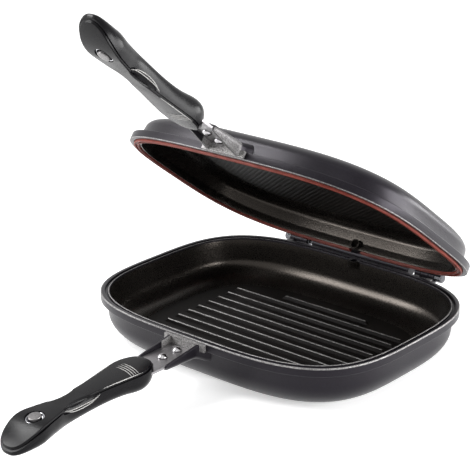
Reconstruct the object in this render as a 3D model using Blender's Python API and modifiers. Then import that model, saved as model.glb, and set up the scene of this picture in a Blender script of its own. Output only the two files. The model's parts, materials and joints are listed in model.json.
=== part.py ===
"""Double sided flip pan: two die-cast grill pans hinged at the back, each with a riveted handle.

Metres, +Z up. The origin is the middle of the base pan's underside, +X runs along the hinge line and the
handles point to -Y. Each half is drawn from the parting plane outwards, so one function makes both pieces
of a pair.
"""

import math

import bmesh
import bpy
from mathutils import Matrix, Vector

# Driving sizes of the pan
half_width = 0.145
half_depth = 0.114
base_height = 0.0416
lid_height = 0.0272
width_power = 3.55
depth_power = 3.38
open_angle = math.radians(36.7)

# Casting of both halves
wall = 0.0032
band_height = 0.0074
band_edge = 0.0006
base_step = 0.0044
lid_step = 0.0058
draft = 0.0011
base_floor = 0.005
lid_roof = 0.0032
base_corner_width = 0.0259
base_corner_height = 0.0226
lid_corner_width = 0.017
lid_corner_height = 0.0113
ring_points = 60
corner_steps = 4
seating_gap = 0.0003
overrun = 0.001

# Rim: land, seal groove and lips
rim_round = 0.0008
land_width = 0.0032
base_groove_width = 0.0023
base_groove_depth = 0.0024
base_lip_width = 0.0012
base_lip_drop = 0.0004
rim_slope = 0.0002
closing_gap = 0.0004
seal_width = 0.0043
lid_groove_depth = 0.003
lid_lip_width = 0.0012

# Seal ridges
seal_ridge_width = 0.0015
seal_inner_ridge_width = 0.0011
seal_ridge_reach = 0.0019
seal_inner_ridge_reach = 0.0014
seal_tip_share = 0.45

# Ribs of the grill floor
rib_pitch = 0.0132
rib_side_count = 5
rib_half_length = 0.0945
short_rib_half_length = 0.048
rib_height = 0.003
rib_foot_width = 0.0032
rib_top_width = 0.0018
rib_root = 0.0006

# Steam vent at the middle of the hinge side
vent_boss_radius = 0.0056
vent_channel_radius = 0.0033
vent_boss_height = 0.0062
vent_channel_depth = 0.0051
vent_bore_radius = 0.0011
vent_bore_drop = 0.004
hood_radius = 0.0054
hood_height = 0.0072
port_radius = 0.0037
collar_wall = 0.0007

# Hinge
hinge_offset = 0.006
lug_radius = 0.005
knuckle_middle = 0.0708
knuckle_width = 0.008
inner_lug_width = 0.0055
outer_lug_width = 0.005
lug_side_gap = 0.0005
lug_root_bite = 0.0012
lug_arc_steps = 9
pin_radius = 0.002
pin_head_radius = 0.0043
pin_head_length = 0.007
pin_tail_length = 0.003
pin_groove_radius = 0.0014
clip_thickness = 0.0009
clip_radius = 0.0036
clip_mouth_share = 0.22
clip_steps = 12
round_steps = 12
disc_steps = 20
seat_steps = 24
weld_distance = 0.00001
rail_radius = 0.0052
rail_end_gap = 0.0038
rail_swell = 0.0018

# Handle bracket cast on each half
pad_half_width = 0.0215
pad_reach = 0.0028
pad_top_drop = 0.0012
pad_height = 0.006
bracket_reach = 0.0393
bracket_root_half_width = 0.0225
bracket_neck_half_width = 0.0161
bracket_tip_half_width = 0.0154
bracket_flare_reach = 0.0052
cheek_root_drop = 0.0016
cheek_tip_drop = 0.0072
bracket_floor = 0.003
bracket_tip_floor = 0.0022
base_bracket_swell = 0.0045
lid_bracket_swell = 0.0022
bracket_tip_chamfer = 0.0014
bracket_chamfer = 0.0028
under_groove_share = 0.7
in_land_share = 0.75

# Handle strap
tang_drop = 0.0083
tang_thickness = 0.002
tang_width = 0.027
tang_root_gap = 0.0012
tang_grip_depth = 0.03
tang_corner = 0.004

# Rivets through strap and bracket
rivet_radius = 0.002
rivet_head_radius = 0.0042
rivet_head_height = 0.0026
rivet_tail_radius = 0.0034
rivet_tail_height = 0.0012
rivet_tail_share = 0.8
rivet_dome_steps = 4
rivet_front_reach = 0.0108
rivet_pitch = 0.017

# Grip. Its inner face leans away from the parting plane towards the tip, and its nose curves away further.
grip_root_gap = 0.0062
grip_length = 0.1445
grip_half_width = 0.0172
grip_thickness = 0.0249
grip_shoulder_drop = 0.0044
grip_section_power = 2.7
grip_tip_round = 0.0295
grip_root_round = 0.0278
grip_back_round = 0.0157
nose_length = 0.0333
nose_drop = 0.0132
nose_least_thickness = 0.0012
back_nose_length = 0.0181
back_nose_drop = 0.008
grip_section_points = 15
grip_end_gap = 0.0001
face_drop = 0.0022
face_lean = math.radians(2.8)
face_inset = 0.0012

# Magnet catch
magnet_place_share = 0.806
magnet_radius = 0.0052
magnet_thickness = 0.0046
magnet_edge = 0.0007
magnet_proud = 0.0014
cup_radius = 0.0074
cup_wall = 0.0012
cup_floor = 0.0012
cup_sink = 0.0004

# Scoop on each side of the grip
scoop_place_share = 0.565
scoop_length_share = 0.131
scoop_half_height = 0.0067
scoop_bite = 0.0018
scoop_inner_length_share = 0.107
scoop_inner_half_height = 0.0047
scoop_inner_bite = 0.003
scoop_drop = 0.0008
scoop_segments = 16
scoop_rings = 8

# Grip screw and nut
screw_from_root = 0.021
screw_radius = 0.002
screw_head_radius = 0.0036
screw_head_height = 0.0024
screw_crown_share = 0.7
screw_sink = 0.0015
nut_radius = 0.0039
nut_height = 0.0022
nut_sides = 6

# Grip outline: share of the length, share of the half width, share of the thickness
grip_shares = [
    (0.00, 0.83, 0.93),
    (0.11, 0.97, 0.88),
    (0.24, 0.81, 0.73),
    (0.36, 0.65, 0.70),
    (0.50, 0.53, 0.74),
    (0.62, 0.54, 0.78),
    (0.74, 0.81, 0.80),
    (0.84, 0.99, 0.86),
    (1.00, 0.98, 0.78),
]

# Stations of the grip loft, closer together where its ends round off
grip_station_shares = [
    0.006, 0.02, 0.045, 0.08, 0.13, 0.20, 0.27, 0.34, 0.41, 0.48, 0.55, 0.62, 0.68, 0.73, 0.77, 0.81,
    0.85, 0.89, 0.925, 0.955, 0.975, 0.989, 0.997,
]  # fmt: skip

# How the grip's ends and nose curve: each curve's power, and how much of it the width and thickness take
root_power_share = 2.4
tip_power_share = 2.6
back_power_share = 2.2
nose_power_share = 2
root_width_share = 0.6
root_thickness_share = 0.5
tip_thickness_share = 0.4

axis_depth = half_depth + hinge_offset
bracket_floor_top = tang_drop + tang_thickness + seating_gap
grip_start = half_depth + bracket_reach + grip_root_gap


def clear_scene():
    for obj in list(bpy.data.objects):
        bpy.data.objects.remove(obj, do_unlink=True)


def make_collection(name):
    collection = bpy.data.collections.new(name)
    bpy.context.scene.collection.children.link(collection)
    return collection


def make_material(name, color, roughness, metallic):
    material = bpy.data.materials.new(name)
    material.use_nodes = True
    shader = material.node_tree.nodes["Principled BSDF"]
    shader.inputs["Base Color"].default_value = (*color, 1)
    shader.inputs["Roughness"].default_value = roughness
    shader.inputs["Metallic"].default_value = metallic
    return material


def make_frame(name, place, turn):
    """An empty that carries one half. Its origin lies on the hinge axis."""
    frame = bpy.data.objects.new(name, None)
    frame.location = place
    frame.rotation_euler.x = turn
    parts.objects.link(frame)
    return frame


def add_object(name, bm, collection, material=None, smooth_angle=None):
    """Closes a bmesh into an object with its faces outward."""
    bmesh.ops.recalc_face_normals(bm, faces=bm.faces)
    mesh = bpy.data.meshes.new(name)
    bm.to_mesh(mesh)
    bm.free()
    obj = bpy.data.objects.new(name, mesh)
    collection.objects.link(obj)
    if material:
        mesh.materials.append(material)
    if smooth_angle:
        mesh.shade_smooth()
        mesh.set_sharp_from_angle(angle=smooth_angle)
    return obj


def add_cutter(name, bm):
    cutter = add_object(name, bm, cutters)
    cutter.hide_render = True
    cutter.display_type = "WIRE"
    return cutter


def combine(target, tool, operation):
    modifier = target.modifiers.new(tool.name, "BOOLEAN")
    modifier.operation = operation
    modifier.solver = "EXACT"
    modifier.object = tool
    tool.parent = target


def carry(obj, half, place=(0, 0, 0)):
    """Hangs a piece on its half's frame. place is measured from the pan's middle, in the parting plane."""
    obj.parent = half["frame"]
    obj.location = (place[0], place[1] - axis_depth, place[2])
    return obj


def loft(bm, rings):
    """Lofts through rings of points in turn, and closes both ends."""
    loops = [[bm.verts.new(point) for point in ring] for ring in rings]
    for near, far in zip(loops, loops[1:]):
        for i in range(len(near)):
            bm.faces.new((near[i - 1], near[i], far[i], far[i - 1]))
    for end in (loops[0], loops[-1]):
        bm.faces.new(end)


def pan_point(angle, inset, height):
    """A point of the rounded-square outline, drawn in by inset."""
    across = math.cos(angle)
    along = math.sin(angle)
    x = (half_width - inset) * math.copysign(abs(across) ** (2 / width_power), across)
    y = (half_depth - inset) * math.copysign(abs(along) ** (2 / depth_power), along)
    return (x, y, height)


def pan_ring(inset, height):
    turn = 2 * math.pi / ring_points
    return [pan_point((i + 0.5) * turn, inset, height) for i in range(ring_points)]


def corner(inset, height, width, rise):
    """Insets and heights of a rounded corner, from the wall round to the floor."""
    steps = [math.pi / 2 * i / corner_steps for i in range(corner_steps + 1)]
    return [(inset + width * (1 - math.cos(t)), height - rise * (1 - math.sin(t))) for t in steps]


def outer_profile(half):
    """From the middle of the outside, up the wall and round the band to the land's outer edge."""
    low = corner(half["step"] + draft, half["height"], half["corner_width"], half["corner_height"])
    rim = half["rim"]
    band = [
        (half["step"], band_height),
        (band_edge, band_height),
        (0, band_height - band_edge),
        (0, rim + rim_round),
        (rim_round, rim),
    ]
    return low[::-1] + band


def base_rim_profile():
    groove = land_width
    lip = groove + base_groove_width
    inner = lip + base_lip_width
    return [
        (groove, 0),
        (groove + rim_slope, base_groove_depth),
        (lip - rim_slope, base_groove_depth),
        (lip, base_lip_drop + rim_slope),
        (lip + rim_slope, base_lip_drop),
        (inner - rim_slope, base_lip_drop),
        (inner, base_lip_drop + rim_round),
    ]


def lid_rim_profile():
    groove = land_width + rim_slope
    lip = groove + seal_width + 2 * seating_gap
    inner = lip + lid_lip_width
    floor = closing_gap + lid_groove_depth
    return [
        (groove, closing_gap),
        (groove, floor),
        (lip, floor),
        (lip, closing_gap + rim_slope),
        (inner - rim_slope, closing_gap + rim_slope),
        (inner, closing_gap + rim_round),
        (inner, floor),
    ]


def inner_profile(half):
    """Down the inner wall and round to the middle of the floor."""
    inset = half["step"] + draft + wall
    inside_height = half["height"] - half["floor"]
    width = half["corner_width"] - wall
    rise = half["corner_height"] - half["floor"]
    shoulder = (half["step"] + wall, band_height)
    return [shoulder] + corner(inset, inside_height, width, rise)


def add_pan(name, half):
    profile = outer_profile(half) + half["rim_profile"]() + inner_profile(half)
    bm = bmesh.new()
    loft(bm, [pan_ring(inset, half["side"] * height) for inset, height in profile])
    pan = add_object(name, bm, parts, half["metal"], math.radians(32))
    return carry(pan, half)


def add_prism(bm, outline, start, end, axes):
    """Extrudes an outline from start to end. axes names the outline's two axes and the one it runs along."""

    def place(point, along):
        spot = [0, 0, 0]
        for axis, value in zip(axes, (*point, along)):
            spot["xyz".index(axis)] = value
        return spot

    face = bm.faces.new([bm.verts.new(place(point, start)) for point in outline])
    grown = bmesh.ops.extrude_face_region(bm, geom=[face])
    moved = [item for item in grown["geom"] if isinstance(item, bmesh.types.BMVert)]
    step = Vector(place((0, 0), end - start))
    bmesh.ops.translate(bm, verts=moved, vec=step)


def add_box(bm, low, high):
    outline = [(low[0], low[1]), (high[0], low[1]), (high[0], high[1]), (low[0], high[1])]
    add_prism(bm, outline, low[2], high[2], "xyz")


def add_cylinder(bm, middle, radius, start, end, axis="z", segments=round_steps):
    turn = 2 * math.pi / segments
    u, v = {"z": (0, 1), "x": (1, 2), "y": (0, 2)}[axis]
    turns = [i * turn for i in range(segments)]
    ring = [(middle[u] + radius * math.cos(t), middle[v] + radius * math.sin(t)) for t in turns]
    names = "xyz"[u] + "xyz"[v] + axis
    add_prism(bm, ring, start, end, names)


def add_turned(name, profile, material, steps=round_steps):
    """Turns a profile of (radius, height) points, top to bottom down its outer side, about Z."""
    mesh = bpy.data.meshes.new(name)
    points = [(radius, 0, height) for radius, height in profile]
    mesh.from_pydata(points, [(i, i + 1) for i in range(len(points) - 1)], [])
    mesh.materials.append(material)
    obj = bpy.data.objects.new(name, mesh)
    parts.objects.link(obj)
    screw = obj.modifiers.new("Turn", "SCREW")
    screw.steps = steps
    screw.render_steps = steps
    screw.use_merge_vertices = True
    screw.merge_threshold = weld_distance
    screw.use_smooth_shade = True
    return obj


def add_ribs(pan):
    """Tapered bars on the grill floor, parallel to the hinge. The outermost one on each side is short."""
    floor = base_floor - base_height
    bm = bmesh.new()
    for number in range(-rib_side_count, rib_side_count + 1):
        y = number * rib_pitch
        reach = short_rib_half_length if abs(number) == rib_side_count else rib_half_length
        foot = rib_foot_width / 2
        top = rib_top_width / 2
        outline = [(y - foot, floor - rib_root), (y + foot, floor - rib_root), (y + foot, floor)]
        outline += [(y + top, floor + rib_height), (y - top, floor + rib_height), (y - foot, floor)]
        add_prism(bm, outline, -reach, reach, "yzx")
    slope = rib_height + rib_root
    for vert in bm.verts:
        if vert.co.z > floor + rib_height / 2:
            vert.co.x -= math.copysign(slope, vert.co.x)
    combine(pan, add_cutter("grill_ribs", bm), "UNION")


def outline_depth(x):
    """How far back the band's outline lies at a distance x from the middle."""
    return half_depth * (1 - (abs(x) / half_width) ** width_power) ** (1 / depth_power)


def lug_outline(side, x, radius, swell=0):
    """The side view of a lug that ends at x: its root in the band, and a round end about the hinge axis."""
    root = outline_depth(x) - lug_root_bite
    gap = lug_side_gap
    lift = math.asin(gap / radius)
    sweep = math.pi + math.pi / 2 + lift
    turns = [math.pi + lift - sweep * i / lug_arc_steps for i in range(lug_arc_steps + 1)]
    arc = [(axis_depth + radius * math.cos(t), side * radius * -math.sin(t)) for t in turns]
    return [(root, side * (radius + swell)), (root, side * gap)] + arc


def add_lugs(pan, half, spans):
    """Lugs at both hinges, unioned to the band, then bored for the pins."""
    bm = bmesh.new()
    bore = bmesh.new()
    for sign in (-1, 1):
        for near, far in spans:
            low, high = sorted((sign * near, sign * far))
            add_prism(bm, lug_outline(half["side"], far, lug_radius), low, high, "yzx")
            middle = (0, axis_depth, 0)
            add_cylinder(bore, middle, pin_radius + seating_gap, low - overrun / 4, high + overrun / 4, "x")
    name = half["name"]
    combine(pan, add_cutter(name + "_lugs", bm), "UNION")
    combine(pan, add_cutter(name + "_pin_bores", bore), "DIFFERENCE")


def add_rail(pan, half):
    """The round rail cast along the base's back between the hinges, which fills the gap below the lid."""
    bm = bmesh.new()
    inner, _, _ = hinge_spans()
    reach = inner[0] - pin_tail_length - rail_end_gap
    outline = lug_outline(half["side"], reach, rail_radius, rail_swell)
    add_prism(bm, outline, -reach, reach, "yzx")
    combine(pan, add_cutter("hinge_rail", bm), "UNION")


def bracket_sections(half):
    """Reach, half width, top and bottom of the bracket, which flares where it leaves the wall."""
    wall_reach = half_depth - half["step"]
    front = half_depth + pad_reach
    flare_end = front + bracket_flare_reach
    tip = half_depth + bracket_reach
    floor_low = bracket_floor_top + bracket_floor
    tip_low = bracket_floor_top + bracket_tip_floor
    in_land = half_depth - land_width * in_land_share
    bends = [wall_reach - wall / 2, in_land, half_depth - land_width / 2, half_depth, front]
    bends += [(front + flare_end) / 2, flare_end, tip - 2 * bracket_tip_chamfer, tip]
    sections = []
    for reach in bends:
        to_end = max(0, (flare_end - max(reach, wall_reach)) / (flare_end - wall_reach))
        along = max(0, (reach - flare_end) / (tip - flare_end))
        width = bracket_neck_half_width + along * (bracket_tip_half_width - bracket_neck_half_width)
        width += to_end**2 * (bracket_root_half_width - bracket_neck_half_width)
        low = floor_low + along * (tip_low - floor_low) + to_end**2 * half["bracket_swell"]
        slope = max(0, (reach - front) / (tip - front))
        top = cheek_root_drop + slope * (cheek_tip_drop - cheek_root_drop)
        if reach <= in_land:
            top = band_height * under_groove_share
        sections.append((reach, width, top, low))
    reach, width, top, low = sections[-1]
    sections[-1] = (reach, width, top, low - bracket_tip_chamfer)
    return sections


def add_bracket(pan, half):
    """The front pad and the tapered channel that the handle strap is riveted into."""
    side = half["side"]
    front = half_depth + pad_reach
    tip = half_depth + bracket_reach
    pad = bmesh.new()
    lows = sorted((side * pad_top_drop, side * (pad_top_drop + pad_height)))
    add_box(pad, (-pad_half_width, -front, lows[0]), (pad_half_width, -half_depth + land_width / 2, lows[1]))
    combine(pan, add_cutter(half["name"] + "_pad", pad), "UNION")
    body = bmesh.new()
    rings = []
    for reach, width, top, low in bracket_sections(half):
        right = [(width, top), (width, low - bracket_chamfer), (width - bracket_chamfer, low)]
        outline = right + [(-x, drop) for x, drop in reversed(right)]
        rings.append([(x, -reach, side * drop) for x, drop in outline])
    loft(body, rings)
    bmesh.ops.triangulate(body, faces=body.faces)
    combine(pan, add_cutter(half["name"] + "_bracket", body), "UNION")
    channel = bmesh.new()
    channel_half = tang_width / 2 + seating_gap
    heights = sorted((0, side * bracket_floor_top))
    back = -front - seating_gap
    add_box(channel, (-channel_half, -tip - overrun, heights[0]), (channel_half, back, heights[1]))
    combine(pan, add_cutter(half["name"] + "_channel", channel), "DIFFERENCE")
    holes = bmesh.new()
    under = bracket_floor_top + bracket_floor + half["bracket_swell"] + overrun
    heights = sorted((side * (bracket_floor_top - overrun), side * under))
    for reach in rivet_reaches():
        add_cylinder(holes, (0, -reach), rivet_radius + seating_gap, heights[0], heights[1])
    combine(pan, add_cutter(half["name"] + "_rivet_holes", holes), "DIFFERENCE")


def rivet_reaches():
    first = half_depth + rivet_front_reach
    return [first, first + rivet_pitch]


def vent_middle():
    return (0, half_depth - land_width - base_groove_width - base_lip_width)


def add_base_vent(pan):
    """A round steam channel in the back rim. Its wall carries the lip round in a U, and a bore leads out."""
    middle = vent_middle()
    boss = bmesh.new()
    add_cylinder(boss, middle, vent_boss_radius, -vent_boss_height, -base_lip_drop, segments=disc_steps)
    combine(pan, add_cutter("vent_boss", boss), "UNION")
    channel = bmesh.new()
    add_cylinder(channel, middle, vent_channel_radius, -vent_channel_depth, overrun, segments=disc_steps)
    combine(pan, add_cutter("vent_channel", channel), "DIFFERENCE")
    outlet = bmesh.new()
    back = axis_depth + rail_radius + overrun
    add_cylinder(outlet, (0, 0, -vent_bore_drop), vent_bore_radius, middle[1], back, "y")
    combine(pan, add_cutter("vent_outlet", outlet), "DIFFERENCE")


def add_lid_hood(pan, half):
    """The lid's hood over the vent: a boss that breaks the seal groove, with a round port facing inward."""
    middle = vent_middle()
    low = closing_gap + rim_slope
    hood = bmesh.new()
    add_cylinder(hood, middle, hood_radius, low, hood_height, segments=disc_steps)
    combine(pan, add_cutter("vent_hood", hood), "UNION")
    collar_radius = port_radius + collar_wall
    port_middle = (0, 0, low + collar_radius + seating_gap)
    front = middle[1] - hood_radius - seating_gap
    back = half_depth - half["step"] - wall / 2
    collar = bmesh.new()
    add_cylinder(collar, port_middle, collar_radius, front, back, "y", disc_steps)
    combine(pan, add_cutter("vent_collar", collar), "UNION")
    port = bmesh.new()
    add_cylinder(port, port_middle, port_radius, front - overrun, back - seating_gap, "y", disc_steps)
    combine(pan, add_cutter("vent_port", port), "DIFFERENCE")


def add_gasket(half):
    """The seal: one section with two ridges, lofted along the rim from one side of the hood to the other."""
    outer = land_width + rim_slope + seating_gap
    inner = outer + seal_width
    back = closing_gap + lid_groove_depth - seating_gap
    ridge = outer + seal_ridge_width
    second = inner - seal_inner_ridge_width
    shelf = 0
    tip = seal_tip_share * seal_ridge_width / 2
    inner_tip = seal_tip_share * seal_inner_ridge_width / 2
    ridge_middle = (outer + ridge) / 2
    second_middle = (second + inner) / 2
    section = [
        (outer, back),
        (outer, -seal_ridge_reach / 2),
        (ridge_middle - tip, -seal_ridge_reach),
        (ridge_middle + tip, -seal_ridge_reach),
        (ridge, -seal_ridge_reach / 2),
        (ridge + rim_slope, shelf),
        (second - rim_slope, shelf),
        (second, -seal_inner_ridge_reach / 2),
        (second_middle - inner_tip, -seal_inner_ridge_reach),
        (second_middle + inner_tip, -seal_inner_ridge_reach),
        (inner, -seal_inner_ridge_reach / 2),
        (inner, back),
    ]
    opening = max(hood_radius, vent_boss_radius) + 2 * seating_gap
    near = math.acos((opening / (half_width - inner)) ** (width_power / 2))
    turn = 2 * math.pi / ring_points
    middles = [(i + 0.5) * turn for i in range(ring_points)]
    clear = [t for t in middles if abs(t - math.pi / 2) > math.pi / 2 - near]
    after = [t for t in clear if t > math.pi / 2]
    before = [t + 2 * math.pi for t in clear if t < math.pi / 2]
    angles = [math.pi - near] + after + before + [2 * math.pi + near]
    bm = bmesh.new()
    loft(bm, [[pan_point(angle, inset, height) for inset, height in section] for angle in angles])
    seal = add_object("silicone_gasket", bm, parts, silicone, math.radians(50))
    return carry(seal, half)


def curve_share(share, column):
    """Reads the grip's outline smoothly between its shares (a Catmull-Rom curve)."""
    last = len(grip_shares) - 1
    spot = next((i for i in range(last) if share <= grip_shares[i + 1][0]), last - 1)
    near, far = grip_shares[spot], grip_shares[spot + 1]
    before = grip_shares[max(spot - 1, 0)]
    after = grip_shares[min(spot + 2, last)]
    span = far[0] - near[0]
    t = (share - near[0]) / span
    slope_in = (far[column] - before[column]) / (far[0] - before[0]) * span
    slope_out = (after[column] - near[column]) / (after[0] - near[0]) * span
    rise = far[column] - near[column]
    bend = slope_in + slope_out - 2 * rise
    return near[column] + t * (slope_in + t * (3 * rise - 2 * slope_in - slope_out + t * bend))


def rounded_end(distance, radius, power):
    """1 away from an end, falling to 0 at the end itself."""
    u = max(0, 1 - distance / radius)
    return (1 - u**power) ** (1 / power)


def grip_size(share):
    """Half width and thickness of the grip at a share of its length."""
    root_end = rounded_end(share * grip_length, grip_root_round, root_power_share)
    from_tip = (1 - share) * grip_length
    width = grip_half_width * curve_share(share, 1)
    width *= root_end**root_width_share * rounded_end(from_tip, grip_tip_round, tip_power_share)
    thick = (grip_thickness - grip_shoulder_drop) * curve_share(share, 2)
    thick *= root_end**root_thickness_share
    thick *= rounded_end(from_tip, grip_back_round, back_power_share) ** tip_thickness_share
    into_nose = max(0, 1 - from_tip / back_nose_length)
    back_nose = back_nose_drop * (1 - math.sqrt(1 - into_nose**2))
    return width, max(nose_least_thickness, thick + back_nose - nose_rise(from_tip))


def nose_rise(from_tip):
    """How far the spoon-shaped nose bends the inner face outward, at a distance from the tip."""
    return nose_drop * min(1, max(0, 1 - from_tip / nose_length)) ** nose_power_share


def face_rise(reach):
    """How much further out the inner face lies than at the grip's root, by its lean and its nose."""
    return nose_rise(grip_start + grip_length - reach) + (reach - grip_start) * math.tan(face_lean)


def lean(bm, side):
    """Moves points out along the grip, so that a flat piece follows the leaning face."""
    for vert in bm.verts:
        vert.co.z += side * face_rise(-vert.co.y)


def grip_section(share, side):
    """A flat-topped, round-backed section of the grip shell."""
    width, thick = grip_size(share)
    reach = grip_start + share * grip_length
    shoulder = grip_shoulder_drop + face_rise(reach)
    power = 2 / grip_section_power
    ring = []
    for i in range(grip_section_points + 1):
        angle = math.pi * i / grip_section_points
        x = width * math.copysign(abs(math.cos(angle)) ** power, math.cos(angle))
        drop = shoulder + thick * max(0, math.sin(angle)) ** power
        ring.append((x, -reach, side * drop))
    return ring


def add_grip_shell(half):
    side = half["side"]
    bm = bmesh.new()
    shares = [grip_end_gap / grip_length] + grip_station_shares
    loft(bm, [grip_section(share, side) for share in shares])
    shell = add_object(half["name"] + "_grip_shell", bm, parts, phenolic, math.radians(40))
    carry(shell, half)
    cuts = bmesh.new()
    slot = sorted((side * (tang_drop - seating_gap), side * (tang_drop + tang_thickness + seating_gap)))
    wide = tang_width / 2 + seating_gap
    deep = grip_start + tang_grip_depth + seating_gap
    add_box(cuts, (-wide, -deep, slot[0]), (wide, -grip_start + overrun, slot[1]))
    combine(shell, add_cutter(half["name"] + "_tang_slot", cuts), "DIFFERENCE")
    seat = cup_tool(half, cup_bottom() + seating_gap)
    combine(shell, add_cutter(half["name"] + "_cup_seat", seat), "DIFFERENCE")
    add_screw_seat(shell, half)
    add_scoops(shell, half)
    return shell


def magnet_reach():
    return grip_start + grip_length * magnet_place_share


def magnet_top():
    return face_drop - magnet_proud


def cup_bottom():
    """How far the cup's underside lies from the parting plane, before the face's lean."""
    return magnet_top() + magnet_thickness + seating_gap + cup_floor


def magnet_seat():
    """The face's rise and its lean where the cup is let in, both taken across the cup."""
    near = face_rise(magnet_reach() - cup_radius)
    far = face_rise(magnet_reach() + cup_radius)
    return (near + far) / 2, math.atan2(far - near, 2 * cup_radius)


def cup_tool(half, bottom):
    """A cutter for the magnet cup, square to the face."""
    side = half["side"]
    rise, angle = magnet_seat()
    bm = bmesh.new()
    heights = sorted((side * (face_drop - 2 * overrun), side * bottom))
    add_cylinder(bm, (0, 0), cup_radius + seating_gap, heights[0], heights[1], segments=seat_steps)
    spot = Matrix.Translation((0, -magnet_reach(), side * rise))
    bmesh.ops.transform(bm, matrix=spot @ Matrix.Rotation(-side * angle, 4, "X"), verts=bm.verts)
    return bm


def screw_reach():
    return grip_start + screw_from_root


def screw_head_drop():
    """How far the screw head's seat lies outward of the parting plane."""
    _, thick = grip_size(screw_from_root / grip_length)
    return grip_shoulder_drop + face_rise(screw_reach()) + thick - screw_sink - screw_head_height


def add_screw_seat(shell, half):
    side = half["side"]
    spot = (0, -screw_reach())
    seat = screw_head_drop()
    hole = bmesh.new()
    heights = sorted((side * tang_drop, side * (seat + overrun)))
    add_cylinder(hole, spot, screw_radius + seating_gap, heights[0], heights[1])
    combine(shell, add_cutter(half["name"] + "_screw_hole", hole), "DIFFERENCE")
    sink = bmesh.new()
    heights = sorted((side * seat, side * (seat + grip_thickness)))
    add_cylinder(sink, spot, screw_head_radius + seating_gap, heights[0], heights[1])
    combine(shell, add_cutter(half["name"] + "_screw_sink", sink), "DIFFERENCE")
    pocket = bmesh.new()
    heights = sorted((side * (grip_shoulder_drop - overrun), side * tang_drop))
    add_cylinder(pocket, spot, nut_radius + 2 * seating_gap, heights[0], heights[1], segments=nut_sides)
    combine(shell, add_cutter(half["name"] + "_nut_pocket", pocket), "DIFFERENCE")


def scoop_tool(half, name, sign, length_share, half_height, bite):
    """An eye-shaped cutter: a squashed sphere that bites into the grip's side."""
    bm = bmesh.new()
    bmesh.ops.create_uvsphere(bm, u_segments=scoop_segments, v_segments=scoop_rings, radius=1)
    width, _ = grip_size(scoop_place_share)
    reach = grip_start + grip_length * scoop_place_share
    drop = face_drop + face_rise(reach) + scoop_drop
    spot = Matrix.Translation((sign * (width + bite), -reach, half["side"] * drop))
    size = Matrix.Diagonal((2 * bite, grip_length * length_share, half_height, 1))
    bmesh.ops.transform(bm, matrix=spot @ size, verts=bm.verts)
    return add_cutter(half["name"] + name + ("_left" if sign < 0 else "_right"), bm)


def add_scoops(shell, half):
    outer = (scoop_length_share, scoop_half_height, scoop_bite)
    inner = (scoop_inner_length_share, scoop_inner_half_height, scoop_inner_bite)
    for sign in (-1, 1):
        combine(shell, scoop_tool(half, "_scoop", sign, *outer), "DIFFERENCE")
        combine(shell, scoop_tool(half, "_inner_scoop", sign, *inner), "DIFFERENCE")


def add_grip_face(half):
    """The flat inner face plate: the grip's outline drawn in, with a hole for the magnet cup."""
    side = half["side"]
    stations = [(grip_size(share)[0], share * grip_length) for share in grip_station_shares]
    low_end = -grip_start - face_inset
    high_end = -grip_start - grip_length + face_inset
    right = [
        (width - face_inset, min(low_end, max(high_end, -grip_start - reach)))
        for width, reach in stations
        if width > 2 * face_inset
    ]
    bm = bmesh.new()
    heights = [side * face_drop, side * (grip_shoulder_drop - seating_gap)]
    strips = [[(x, y, z) for z in heights] for x, y in right]
    rings = [[low, (-low[0], *low[1:]), (-high[0], *high[1:]), high] for low, high in strips]
    loft(bm, rings)
    bmesh.ops.remove_doubles(bm, verts=bm.verts, dist=weld_distance)
    lean(bm, side)
    face = add_object(half["name"] + "_grip_face", bm, parts, phenolic, math.radians(40))
    carry(face, half)
    bottom = grip_shoulder_drop + overrun
    combine(face, add_cutter(half["name"] + "_cup_hole", cup_tool(half, bottom)), "DIFFERENCE")
    inner = (scoop_inner_length_share, scoop_inner_half_height, scoop_inner_bite)
    for sign in (-1, 1):
        combine(face, scoop_tool(half, "_face_scoop", sign, *inner), "DIFFERENCE")
    return face


def add_tang(half):
    """The stainless strap, from the pad into the grip, with holes for two rivets and the grip screw."""
    side = half["side"]
    start = half_depth + pad_reach + tang_root_gap
    end = grip_start + tang_grip_depth
    wide = tang_width / 2
    outline = [(-wide, -start), (-wide, -end + tang_corner), (-wide + tang_corner, -end)]
    outline += [(wide - tang_corner, -end), (wide, -end + tang_corner), (wide, -start)]
    heights = sorted((side * tang_drop, side * (tang_drop + tang_thickness)))
    bm = bmesh.new()
    add_prism(bm, outline, heights[0], heights[1], "xyz")
    tang = add_object(half["name"] + "_tang", bm, parts, stainless)
    carry(tang, half)
    holes = bmesh.new()
    heights = sorted((side * (tang_drop - overrun), side * (tang_drop + tang_thickness + overrun)))
    for reach in rivet_reaches() + [screw_reach()]:
        add_cylinder(holes, (0, -reach), rivet_radius + seating_gap, heights[0], heights[1])
    combine(tang, add_cutter(half["name"] + "_tang_holes", holes), "DIFFERENCE")
    return tang


def add_rivets(half):
    """Domed head on the strap, shank through both holes, formed tail under the bracket floor."""
    top = tang_thickness + seating_gap + bracket_floor
    seat = seating_gap
    tail = -top - seating_gap
    dome = [math.pi / 2 * i / rivet_dome_steps for i in range(rivet_dome_steps + 1)]
    profile = [(rivet_head_radius * math.sin(t), seat + rivet_head_height * math.cos(t)) for t in dome]
    profile += [(rivet_radius, seat), (rivet_radius, tail), (rivet_tail_radius, tail)]
    end = tail - rivet_tail_height
    profile += [(rivet_tail_radius * rivet_tail_share, end), (0, end)]
    for label, reach in zip(("front", "rear"), reversed(rivet_reaches())):
        rivet = add_turned(f"{half['name']}_{label}_rivet", profile, stainless)
        carry(rivet, half, (0, -reach, half["side"] * tang_drop))
        rivet.rotation_euler.x = math.pi if half["side"] > 0 else 0


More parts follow.
